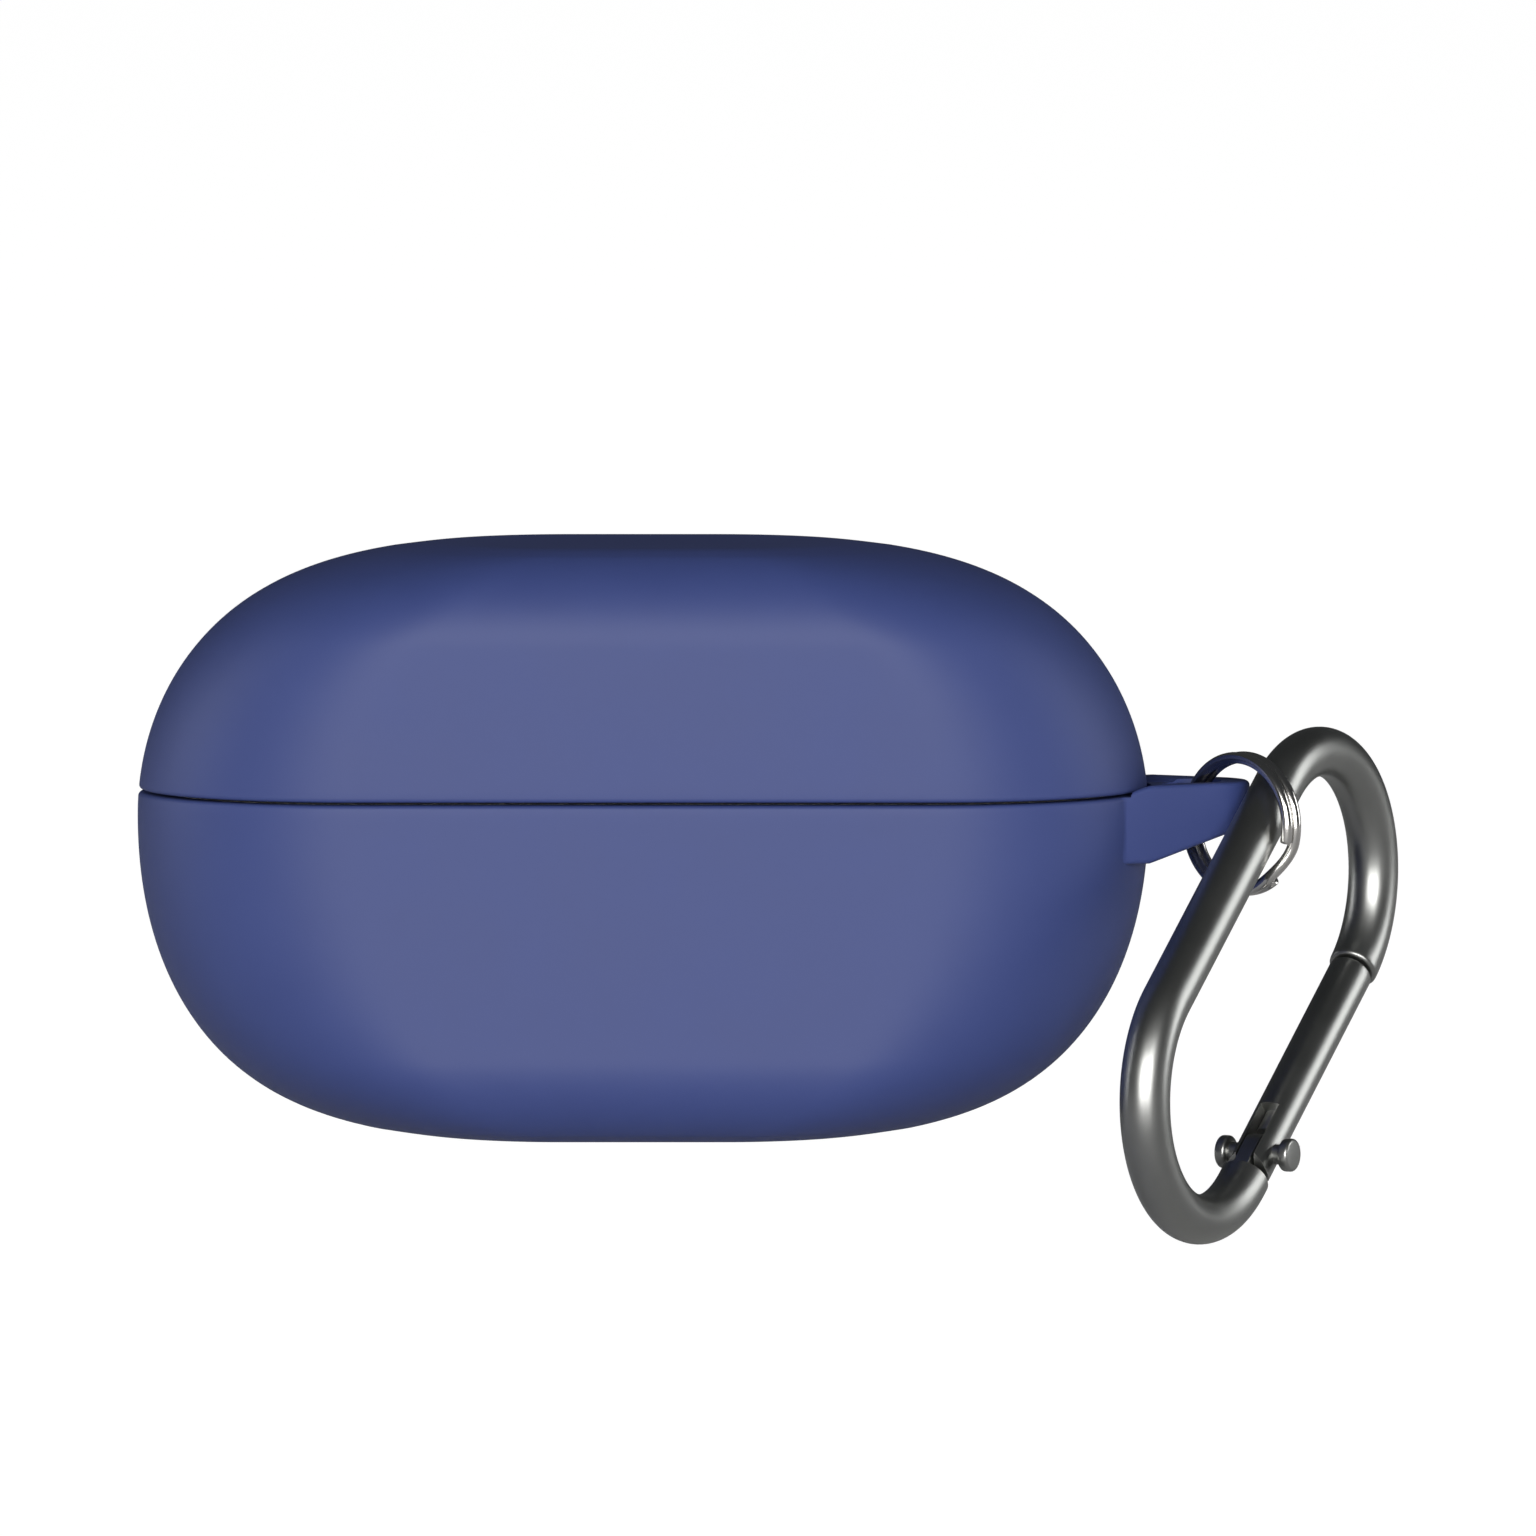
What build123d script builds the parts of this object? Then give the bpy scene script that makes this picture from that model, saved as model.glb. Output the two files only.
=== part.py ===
from build123d import *
from math import atan2, cos, degrees, pi, radians, sin, sqrt
import os

os.makedirs("parts", exist_ok=True)

# Frame: origin at the centre of the cover's flat underside, +X toward the tab,
# +Y toward the hinge, +Z up. Millimetres.

# ---- protective cover, overall ----
cover_width = 70.0
cover_depth = 30.0
cover_height = 41.0
cover_wall = 1.6
cover_fit = 0.05
waist_z = 22.14
parting_z = 23.78
parting_gap = 0.2
upper_powers = (3.82, 1.97)
lower_powers = (4.06, 2.14)
cap_share = 0.985
top_edge_radius = 6.5
bottom_edge_radius = 6.0

base_top = parting_z - parting_gap / 2
lid_bottom = parting_z + parting_gap / 2

# ---- hard case inside the cover ----
case_wall = 1.4
case_inset = cover_wall + cover_fit
cavity_inset = case_inset + case_wall
liner_gap = 0.05
liner_wall = 0.9
liner_rise = 0.1
liner_inset = cavity_inset + liner_gap
headroom_inset = liner_inset + liner_wall
cavity_floor = cavity_inset

# ---- hinge ----
hinge_y = cover_depth / 2 - case_inset
knuckle_radius = 1.3
knuckle_gap = 0.3
hinge_room = 1.6
running_fit = 0.05
hinge_pin_radius = 0.55
knuckle_length = 6.4
knuckle_space = 0.2
knuckle_count = 5
hinge_open_angle = 95.0
channel_past_flat = 7.0
channel_half = cover_width / 2 - cover_depth / 2 + channel_past_flat
channel_gap = 0.1
channel_radius = case_inset / cos(radians(hinge_open_angle / 2)) + channel_gap

# ---- earbuds and their wells ----
bud_end_room = 18.0
bud_x = cover_width / 2 - bud_end_room
bud_radius = 8.2
well_gap = 0.4
shelf_z = 14.6
bud_lift = 0.4
bud_bottom = shelf_z + bud_lift
bud_headroom = 6.4
bud_top = cover_height - headroom_inset - bud_headroom
bud_cap_height = 3.8
bud_split_z = bud_top - bud_cap_height
bud_wall = 1.1
bud_cap_round = 2.6
stack_gap = 0.1
driver_radius = 4.2
driver_thick = 2.6
driver_gap = 0.4
cell_radius = 5.4
cell_edge = 0.5
cell_headroom = 2.1
retainer_size = (3.0, 3.0, 1.6)
retainer_y = 5.9
bud_cap_hollow = 1.4
bud_flat_radius = 7.2
bud_neck_radius = 7.6
bud_belly_drop = 0.6
tip_offset = 1.8
tip_radius = 5.0
tip_gap = 0.6
tip_height = 5.5
tip_top = bud_bottom - tip_gap
tip_bottom = tip_top - tip_height
tip_wall = 0.9
tip_lip = 0.8
tip_floor = 1.3
tip_bulge = 0.5
nozzle_radius = 2.4
nozzle_bore = 1.5
nozzle_recess = 0.9
mesh_thick = 0.3
mic_x = 3.6
mic_radius = 0.5
mic_recess = 0.3
mic_depth = 0.9
pocket_gap = 0.6
cup_wall = 0.9
well_radius = bud_radius + well_gap
cup_radius = well_radius + cup_wall
pocket_radius = tip_radius + pocket_gap
pocket_floor = tip_bottom - pocket_gap
tray_drop = 0.4
tray_top = base_top - tray_drop
tray_plate = 1.3
tray_gap = 0.1
tray_inset = cavity_inset + tray_gap

# ---- charging pins ----
pin_reach = 6.2
pin_spread = 3.6
pin_radius = 0.45
pin_barrel_radius = 0.8
pin_length = 2.0
pin_barrel_length = 2.4
pin_barrel_floor = 0.25
pin_travel = 0.4
contact_radius = 0.9
contact_thick = 0.3
pin_x = bud_x - pin_reach
contact_z = bud_bottom

# ---- electronics in the base ----
battery_gap = 1.8
battery_depth = cover_depth - 16.0
battery_size = (
    2 * (bud_x + tip_offset - pocket_radius - cup_wall - battery_gap), battery_depth, 6.6,
)
battery_y = 2.2
battery_edge = 1.2
battery_pad_thick = 0.4
battery_pad_margin = (4.0, 6.0)
board_size = (2 * (pin_x - pin_barrel_radius), cover_depth - 11.0, 0.8)
board_z = 11.4
board_top = board_z + board_size[2]
usb_width = 8.9
usb_height = 3.2
usb_length = 7.3
usb_shell_wall = 0.3
usb_tongue_thick = 0.7
usb_mouth_y = cover_depth / 2 - case_inset - 0.2
usb_z = board_top + usb_height / 2
usb_window_margin = 1.6
button_x = -board_size[0] / 2 - 0.5
button_radius = 1.7
button_travel = 0.4
button_gap = 0.3
button_proud = 0.3
button_flange = 2.3
button_flange_thick = 0.7
switch_gap = 0.1
switch_size = (3.0, 1.2, 3.0)
switch_leg = 0.8
switch_foot = (4.0, 0.4)
screw_radius = 0.8
screw_head_radius = 1.4
screw_head_thick = 0.7
screw_length = 4.0
post_radius = 1.9
post_sink = 0.4
post_x = board_size[0] / 2 - post_radius
post_y = -board_size[1] / 2 + post_radius
chip_thick = 0.9
charger_chip = (5.0, 5.0)
radio_chip = (3.0, 3.0)
power_chip = (3.2, 2.4)
charger_chip_y = -3.0
side_chip_x = 0.65 * board_size[0] / 2
side_chip_y = 1.0
sensor_size = (1.6, 1.2, 0.6)
sensor_x = 2.6
sensor_y = charger_chip_y - charger_chip[1] / 2 - 2.1

# ---- magnets and sensors ----
magnet_size = (4.0, 1.3, 2.2)
magnet_x = 4.5
boss_margin = 0.8
led_size = (1.6, 1.2, 0.6)
led_gap = 0.1
pipe_length = 2.3

# ---- tab ----
tab_root_half = 8.2
tab_bury = 4.0
tab_rise = 0.75
tab_lid_gap = 0.3
tab_nose_x = cover_width / 2 + 3.4
tab_nose_radius = 3.6
tab_root_drop = 5.4
tab_tip_drop = 3.0
tab_hole_radius = 2.1
tab_hole_back = 0.4

# ---- split ring ----
ring_wire = 0.8
ring_outer = 10.0
ring_pitch = 0.86
ring_radius = (ring_outer - ring_wire) / 2
ring_turn = 43.0
ring_below_tab = 2.83
ring_end_angle = 20.0
ring_start_angle = 34.0
ring_points = 61

# ---- carabiner ----
link_wire = 3.47
link_bend = 8.81
link_straight = 21.2
gate_wire = 3.1
gate_gap = 0.2
gate_top = link_straight / 2 - gate_gap
pivot_from_bottom = 2.9
pivot_radius = 0.7
rivet_head_radius = 1.15
rivet_head_thick = 0.8
rivet_head_round = 0.25
rivet_neck = 0.5
spine_out = 1.8
spine_rise = 0.4
spine_up = 7.3
tongue_thick = 1.1
tongue_gap = 0.15
tongue_round = 1.35
foot_round = 1.9
foot_clear = 2.3
slot_reach = 3.5
gate_bore_radius = 0.95
gate_bore_length = 9.0
spring_wire = 0.22
spring_radius = 0.65
spring_pitch = 0.75
spring_length = 6.0
plunger_radius = 0.75
plunger_length = 2.6
plunger_gap = 0.35


def half_span(z, inset):
    """Half length of the front outline, a superellipse above and below the waist."""
    power_x, power_z = upper_powers if z >= waist_z else lower_powers
    reach = cover_height - waist_z if z >= waist_z else waist_z
    rise = reach / cap_share - inset
    share = min(abs(z - waist_z) / rise, 1.0)
    return (cover_width / 2 - inset) * (1 - share**power_z) ** (1 / power_x)


def half_depth(z, inset):
    """Half thickness, flat faces running into round top and bottom edges."""
    radius = (top_edge_radius if z >= waist_z else bottom_edge_radius) - inset
    run = (cover_height - inset - z) if z >= waist_z else z - inset
    drop = max(radius - run, 0.0)
    return cover_depth / 2 - inset - radius + sqrt(max(radius**2 - drop**2, 0.0))


def section_heights(inset):
    """Heights of the loft sections, closer together round the two edges."""
    low = bottom_edge_radius - inset
    high = top_edge_radius - inset
    steps = [radians(18 * i) for i in range(6)]
    bottom = [inset + low * (1 - cos(s)) for s in steps]
    top = [cover_height - inset - high * (1 - cos(s)) for s in reversed(steps)]
    span = top[0] - bottom[-1]
    middle = [bottom[-1] + span * i / 7 for i in range(1, 7)]
    return bottom + middle + top


def pill(inset):
    """Solid pill body, the cover's outside moved inward by inset."""
    with BuildPart() as body:
        for z in section_heights(inset):
            half_y = half_depth(z, inset)
            with BuildSketch(Plane.XY.offset(z)):
                SlotOverall(2 * max(half_span(z, inset), half_y * 1.02), 2 * half_y)
        loft()
    return body.part


def box_at(x, y, z, size):
    """Plain box centred at x, y, z."""
    with BuildPart() as block:
        with Locations((x, y, z)):
            Box(*size)
    return block.part


def post_at(x, y, z_low, z_high, radius):
    """Upright round bar."""
    with BuildPart() as bar:
        with Locations((x, y, z_low)):
            Cylinder(radius, z_high - z_low, align=(Align.CENTER, Align.CENTER, Align.MIN))
    return bar.part


def bar_along_x(x_low, x_high, y, z, radius):
    """Round bar running along X."""
    with BuildPart() as bar:
        with Locations(Plane((x_low, y, z), x_dir=(0, 1, 0), z_dir=(1, 0, 0))):
            Cylinder(radius, x_high - x_low, align=(Align.CENTER, Align.CENTER, Align.MIN))
    return bar.part


def bar_along_y(x, y_low, y_high, z, radius):
    """Round bar running along Y."""
    with BuildPart() as bar:
        with Locations(Plane((x, y_low, z), x_dir=(1, 0, 0), z_dir=(0, 1, 0))):
            Cylinder(radius, y_high - y_low, align=(Align.CENTER, Align.CENTER, Align.MIN))
    return bar.part


def slot_along_y(x, z, y_low, y_high, width, height):
    """Round-ended bar running along Y, the shape of a charging port."""
    with BuildPart() as bar:
        with BuildSketch(Plane((x, y_low, z), x_dir=(1, 0, 0), z_dir=(0, 1, 0))):
            SlotOverall(width, height)
        extrude(amount=y_high - y_low)
    return bar.part


def knuckle_span(index):
    """Ends of one hinge knuckle along X."""
    pitch = knuckle_length + knuckle_space
    low = -knuckle_count * pitch / 2 + index * pitch + knuckle_space / 2
    return low, low + knuckle_length


def save(solid, name):
    """Label one piece and write its STEP file."""
    solid.label = name
    export_step(solid, f"parts/{name}.step")


cover_outside = pill(0.0)
cover_inside = pill(cover_wall)
case_outside = pill(case_inset)
case_inside = pill(cavity_inset)
liner_outside = pill(liner_inset)
liner_inside = pill(headroom_inset)
tray_outside = pill(tray_inset)

hinge_reach = knuckle_count * (knuckle_length + knuckle_space) / 2
base_knuckles = range(0, knuckle_count, 2)
lid_knuckles = range(1, knuckle_count, 2)
channel = bar_along_x(-channel_half, channel_half, hinge_y, parting_z, channel_radius)

# ---- silicone cover, lower half, with the strap tab ----
tab_top = base_top + tab_rise
tab_tip_x = tab_nose_x + tab_nose_radius
tab_root_x = cover_width / 2 - tab_bury
tab_hole_x = tab_nose_x - tab_hole_back
with BuildPart() as lid_sweep:
    add(pill(-tab_lid_gap))
    split(bisect_by=Plane.XY.offset(base_top), keep=Keep.TOP)
with BuildPart() as tab:
    with BuildSketch(Plane.XY.offset(tab_top - tab_root_drop)):
        with BuildLine():
            lean = atan2(tab_root_half - tab_nose_radius, tab_nose_x - tab_root_x)
            touch_x = tab_nose_x + tab_nose_radius * sin(lean)
            touch_y = tab_nose_radius * cos(lean)
            Line((tab_root_x, -tab_root_half), (touch_x, -touch_y))
            ThreePointArc((touch_x, -touch_y), (tab_tip_x, 0), (touch_x, touch_y))
            Line((touch_x, touch_y), (tab_root_x, tab_root_half))
            Line((tab_root_x, tab_root_half), (tab_root_x, -tab_root_half))
        make_face()
    extrude(amount=tab_root_drop)
    with BuildSketch(Plane.XZ.offset(-tab_root_half)):
        with BuildLine():
            Polyline(
                (tab_root_x, tab_top - tab_root_drop - 1),
                (tab_root_x, tab_top - tab_root_drop),
                (cover_width / 2, tab_top - tab_root_drop),
                (tab_tip_x, tab_top - tab_tip_drop),
                (tab_tip_x, tab_top - tab_root_drop - 1),
                close=True,
            )
        make_face()
    extrude(amount=2 * tab_root_half, mode=Mode.SUBTRACT)
    with Locations((tab_hole_x, 0, tab_top)):
        Cylinder(tab_hole_radius, 4 * tab_root_drop, mode=Mode.SUBTRACT)
    add(lid_sweep.part, mode=Mode.SUBTRACT)

usb_window = slot_along_y(
    0, usb_z, hinge_y - case_wall - 1, cover_depth / 2 + 1,
    usb_width + 2 * usb_window_margin, usb_height + 2 * usb_window_margin,
)
button_window = bar_along_y(
    button_x, hinge_y - case_wall, cover_depth / 2 + 1, usb_z, button_flange + button_gap
)
with BuildPart() as cover_base:
    add(cover_outside)
    split(bisect_by=Plane.XY.offset(base_top), keep=Keep.BOTTOM)
    add(tab.part)
    add(cover_inside, mode=Mode.SUBTRACT)
    add(channel, mode=Mode.SUBTRACT)
    add(usb_window, mode=Mode.SUBTRACT)
    add(button_window, mode=Mode.SUBTRACT)

# ---- silicone cover, upper half ----
with BuildPart() as cover_lid:
    add(cover_outside)
    split(bisect_by=Plane.XY.offset(lid_bottom), keep=Keep.TOP)
    add(cover_inside, mode=Mode.SUBTRACT)
    add(channel, mode=Mode.SUBTRACT)

# ---- hard case, lower shell ----
with BuildPart() as case_base_shell:
    add(case_outside)
    split(bisect_by=Plane.XY.offset(base_top), keep=Keep.BOTTOM)
    add(case_inside, mode=Mode.SUBTRACT)
    for index in lid_knuckles:
        low, high = knuckle_span(index)
        add(
            bar_along_x(
                low - knuckle_space, high + knuckle_space, hinge_y, parting_z,
                knuckle_radius + knuckle_gap,
            ),
            mode=Mode.SUBTRACT,
        )
    for index in base_knuckles:
        low, high = knuckle_span(index)
        add(bar_along_x(low, high, hinge_y, parting_z, knuckle_radius))
    add(
        bar_along_x(-hinge_reach, hinge_reach, hinge_y, parting_z, hinge_pin_radius),
        mode=Mode.SUBTRACT,
    )
    for x in (-post_x, post_x):
        add(post_at(x, post_y, cavity_floor - post_sink, board_z, post_radius))
    add(
        slot_along_y(
            0, usb_z, hinge_y - case_wall - 1, cover_depth / 2,
            usb_width + 2 * cover_fit, usb_height + 2 * cover_fit,
        ),
        mode=Mode.SUBTRACT,
    )
    add(
        bar_along_y(
            button_x, hinge_y - case_wall - 1, cover_depth / 2, usb_z,
            button_radius + button_gap,
        ),
        mode=Mode.SUBTRACT,
    )
    for x in (-post_x, post_x):
        add(
            post_at(x, post_y, board_z - screw_length, board_z + 1, screw_radius),
            mode=Mode.SUBTRACT,
        )

# ---- hard case, lid shell ----
with BuildPart() as case_lid_shell:
    add(case_outside)
    split(bisect_by=Plane.XY.offset(lid_bottom), keep=Keep.TOP)
    add(case_inside, mode=Mode.SUBTRACT)
    for index in base_knuckles:
        low, high = knuckle_span(index)
        add(
            bar_along_x(
                low - knuckle_space, high + knuckle_space, hinge_y, parting_z,
                knuckle_radius + knuckle_gap,
            ),
            mode=Mode.SUBTRACT,
        )
    for index in lid_knuckles:
        low, high = knuckle_span(index)
        add(bar_along_x(low, high, hinge_y, parting_z, knuckle_radius))
    add(
        bar_along_x(
            -hinge_reach, hinge_reach, hinge_y, parting_z, hinge_pin_radius + running_fit
        ),
        mode=Mode.SUBTRACT,
    )

with BuildPart() as hinge_pin:
    add(
        bar_along_x(
            -hinge_reach + knuckle_space / 2, hinge_reach - knuckle_space / 2,
            hinge_y, parting_z, hinge_pin_radius,
        )
    )

# ---- lid liner with two magnet bosses at the front lip ----
boss_size = tuple(value + 2 * boss_margin for value in magnet_size)
boss_low = lid_bottom + liner_rise
boss_y = -(cover_depth / 2 - headroom_inset - boss_size[1] / 2 + liner_wall / 2)
hinge_relief = bar_along_x(
    -channel_half, channel_half, hinge_y, parting_z, knuckle_radius + hinge_room
)
with BuildPart() as lid_liner:
    add(liner_outside)
    split(bisect_by=Plane.XY.offset(boss_low), keep=Keep.TOP)
    add(liner_inside, mode=Mode.SUBTRACT)
    for x in (-magnet_x, magnet_x):
        add(box_at(x, boss_y, boss_low + boss_size[2] / 2, boss_size))
    for x in (-magnet_x, magnet_x):
        add(
            box_at(x, boss_y, boss_low + magnet_size[2] / 2, magnet_size),
            mode=Mode.SUBTRACT,
        )
    add(hinge_relief, mode=Mode.SUBTRACT)
with BuildPart() as lid_magnets:
    for x in (-magnet_x, magnet_x):
        add(box_at(x, boss_y, boss_low + magnet_size[2] / 2, magnet_size))

# ---- cradle tray with the two wells ----
with BuildPart() as tray_fill:
    add(tray_outside)
    split(bisect_by=Plane.XY.offset(tray_top), keep=Keep.BOTTOM)
    split(bisect_by=Plane.XY.offset(pocket_floor - cup_wall), keep=Keep.TOP)
cup_low = shelf_z - cup_wall
magnet_block_low = tray_top - tray_plate - magnet_size[2]
with BuildPart() as tray_shape:
    add(tray_outside)
    split(bisect_by=Plane.XY.offset(tray_top), keep=Keep.BOTTOM)
    split(bisect_by=Plane.XY.offset(tray_top - tray_plate), keep=Keep.TOP)
    for side in (-1, 1):
        add(post_at(side * bud_x, 0, cup_low, tray_top, cup_radius))
        tip_x = side * (bud_x + tip_offset)
        add(post_at(tip_x, 0, pocket_floor - cup_wall, shelf_z, pocket_radius + cup_wall))
    for x in (-magnet_x, magnet_x):
        add(box_at(x, boss_y, tray_top - tray_plate - magnet_size[2] / 2, boss_size))
with BuildPart() as cradle_tray:
    add(tray_shape.part)
    add(tray_fill.part, mode=Mode.INTERSECT)
    for side in (-1, 1):
        add(post_at(side * bud_x, 0, shelf_z, tray_top + 1, well_radius), mode=Mode.SUBTRACT)
        tip_x = side * (bud_x + tip_offset)
        add(post_at(tip_x, 0, pocket_floor, shelf_z + 1, pocket_radius), mode=Mode.SUBTRACT)
        for y in (-pin_spread / 2, pin_spread / 2):
            add(
                post_at(side * pin_x, y, cup_low - 1, shelf_z + 1, pin_barrel_radius),
                mode=Mode.SUBTRACT,
            )
    for x in (-magnet_x, magnet_x):
        add(
            box_at(x, boss_y, tray_top - tray_plate - magnet_size[2] / 2, magnet_size),
            mode=Mode.SUBTRACT,
        )
    add(hinge_relief, mode=Mode.SUBTRACT)
    add(
        post_at(0, boss_y, magnet_block_low - 1, tray_top + 1, pin_barrel_radius),
        mode=Mode.SUBTRACT,
    )
with BuildPart() as base_magnets:
    for x in (-magnet_x, magnet_x):
        add(box_at(x, boss_y, tray_top - tray_plate - magnet_size[2] / 2, magnet_size))

# ---- status light at the front of the tray ----
pipe_low = tray_top - pipe_length
with BuildPart() as status_light_pipe:
    add(post_at(0, boss_y, pipe_low, tray_top, pin_barrel_radius))
with BuildPart() as status_led:
    add(box_at(0, boss_y, pipe_low - led_gap - led_size[2] / 2, led_size))

# ---- charging pins: fixed barrels and sprung plungers ----
with BuildPart() as pin_barrels:
    for side in (-1, 1):
        for y in (-pin_spread / 2, pin_spread / 2):
            low = shelf_z - pin_barrel_length
            bore_low = low + pin_barrel_floor
            add(post_at(side * pin_x, y, low, shelf_z, pin_barrel_radius))
            add(
                post_at(side * pin_x, y, bore_low, shelf_z + 1, pin_radius + running_fit),
                mode=Mode.SUBTRACT,
            )


def pin_pair(side):
    """Two sprung plungers just under one earbud's contacts."""
    with BuildPart() as pins:
        for y in (-pin_spread / 2, pin_spread / 2):
            tip_z = contact_z - running_fit
            add(post_at(side * pin_x, y, tip_z - pin_length, tip_z, pin_radius))
        fillet(pins.edges().filter_by(GeomType.CIRCLE).group_by(Axis.Z)[-1], pin_radius * 0.8)
    return pins.part


# ---- battery, main board and its parts ----
battery_low = cavity_floor + battery_pad_thick
with BuildPart() as battery_pad:
    add(
        box_at(
            0, battery_y, cavity_floor + battery_pad_thick / 2,
            (
                battery_size[0] - battery_pad_margin[0],
                battery_size[1] - battery_pad_margin[1],
                battery_pad_thick,
            ),
        )
    )
with BuildPart() as battery_cell:
    with Locations((0, battery_y, battery_low + battery_size[2] / 2)):
        Box(*battery_size)
    fillet(battery_cell.edges().filter_by(Axis.Y), battery_edge)
with BuildPart() as main_board:
    with Locations((0, 0, board_z + board_size[2] / 2)):
        Box(*board_size)
    for x in (-post_x, post_x):
        with Locations((x, post_y, board_z)):
            Cylinder(screw_radius, 3 * board_size[2], mode=Mode.SUBTRACT)
with BuildPart() as board_screws:
    for x in (-post_x, post_x):
        add(post_at(x, post_y, board_top, board_top + screw_head_thick, screw_head_radius))
        add(post_at(x, post_y, board_top - screw_length, board_top, screw_radius))
chip_z = board_top + chip_thick / 2
with BuildPart() as board_chips:
    add(box_at(0, charger_chip_y, chip_z, (*charger_chip, chip_thick)))
    add(box_at(-side_chip_x, side_chip_y, chip_z, (*radio_chip, chip_thick)))
    add(box_at(side_chip_x, side_chip_y, chip_z, (*power_chip, chip_thick)))
with BuildPart() as hall_sensor:
    add(box_at(sensor_x, sensor_y, board_top + sensor_size[2] / 2, sensor_size))
with BuildPart() as usb_socket_shell:
    add(
        slot_along_y(
            0, usb_z, usb_mouth_y - usb_length, usb_mouth_y, usb_width, usb_height
        )
    )
    add(
        slot_along_y(
            0, usb_z, usb_mouth_y - usb_length + usb_shell_wall, usb_mouth_y + 1,
            usb_width - 2 * usb_shell_wall, usb_height - 2 * usb_shell_wall,
        ),
        mode=Mode.SUBTRACT,
    )
with BuildPart() as usb_tongue:
    add(
        box_at(
            0, usb_mouth_y - usb_length / 2, usb_z,
            (usb_width * 0.74, usb_length - 4 * usb_shell_wall, usb_tongue_thick),
        )
    )
    add(
        box_at(
            0, usb_mouth_y - usb_length + 3 * usb_shell_wall, usb_z,
            (usb_width * 0.64, 3 * usb_shell_wall, usb_height - 2.2 * usb_shell_wall),
        )
    )

# ---- pairing button at the back, and its switch ----
button_face_y = hinge_y + button_proud
button_inner_y = hinge_y - case_wall - button_gap
flange_y = button_inner_y - button_flange_thick
with BuildPart() as pairing_button:
    add(bar_along_y(button_x, button_inner_y, button_face_y, usb_z, button_radius))
    add(bar_along_y(button_x, flange_y, button_inner_y, usb_z, button_flange))
switch_front = flange_y - button_travel - switch_gap
leg_y = switch_front - switch_size[1] - switch_leg / 2
with BuildPart() as button_switch:
    add(box_at(button_x, switch_front - switch_size[1] / 2, usb_z, switch_size))
    add(
        box_at(
            button_x, leg_y, board_top + switch_size[2] / 2,
            (switch_size[0], switch_leg, switch_size[2]),
        )
    )
    add(
        box_at(
            button_x - switch_size[0] / 2 + switch_foot[0] / 2, leg_y,
            board_top + switch_foot[1] / 2, (switch_foot[0], switch_leg, switch_foot[1]),
        )
    )


# ---- earbuds ----
def bud_body(inset):
    """Outside of an earbud's round shell on its own axis, moved inward by inset."""
    low = bud_bottom + inset
    middle = (bud_bottom + bud_split_z) / 2 - bud_belly_drop
    with BuildPart() as body:
        with BuildSketch(Plane.XZ):
            with BuildLine():
                Line((0, low), (bud_flat_radius - inset, low))
                ThreePointArc(
                    (bud_flat_radius - inset, low),
                    (bud_radius - inset, middle),
                    (bud_neck_radius - inset, bud_split_z),
                )
                Line((bud_neck_radius - inset, bud_split_z), (0, bud_split_z))
                Line((0, bud_split_z), (0, low))
            make_face()
        revolve(axis=Axis.Z)
    return body.part


bud_outside = bud_body(0.0)
bud_inside = bud_body(bud_wall)
driver_low = bud_bottom + bud_wall + stack_gap
cell_top = bud_split_z - bud_wall - cell_headroom
cell_low = driver_low + driver_thick + driver_gap


def place(solid, side, offset=0.0):
    """Move a piece from its own axis to the left or right earbud."""
    return Pos(side * (bud_x + offset), 0, 0) * solid


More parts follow.
